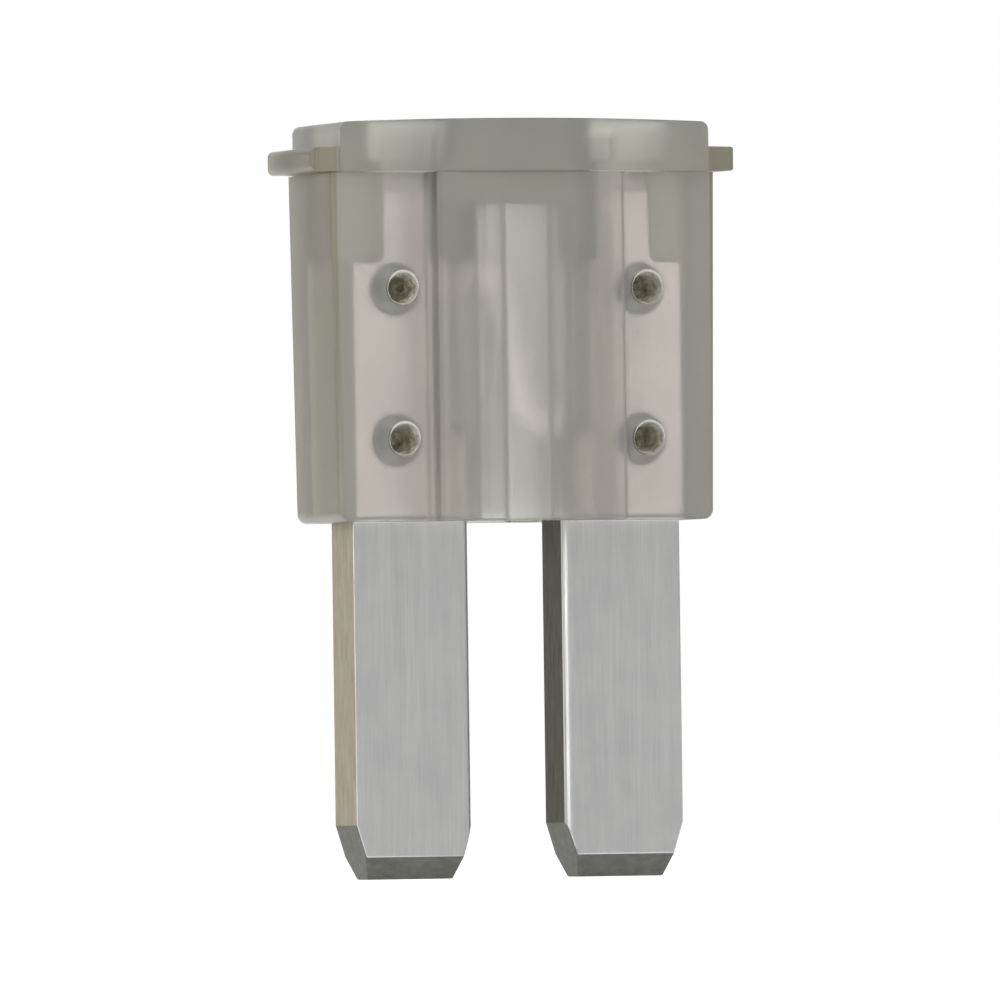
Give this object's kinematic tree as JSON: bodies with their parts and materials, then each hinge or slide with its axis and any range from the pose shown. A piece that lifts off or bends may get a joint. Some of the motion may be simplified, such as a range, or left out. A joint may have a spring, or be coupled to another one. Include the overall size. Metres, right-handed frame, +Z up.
{
  "type": "automotive blade fuse",
  "caption": "Small plug-in blade fuse: flat metal blades and a thin S-shaped fusible link held in a translucent moulded housing with grip ears and test openings.",
  "frame": {"origin": "midpoint between the two blades, in the plane of the housing's underside, where the blades leave the plastic", "axes": "+X across the blades to the right as the picture shows it, +Y from the front to the back, +Z up from the blades to the cap"},
  "size_m": [0.0092, 0.0038, 0.0153],
  "materials": {
    "housing": "natural grey translucent moulded plastic, satin",
    "element": "tin-plated zinc alloy, fine upright rolling lines"
  },
  "bodies": {
    "root": {"housing": "housing", "fuse_element": "element"}
  },
  "joints": []
}
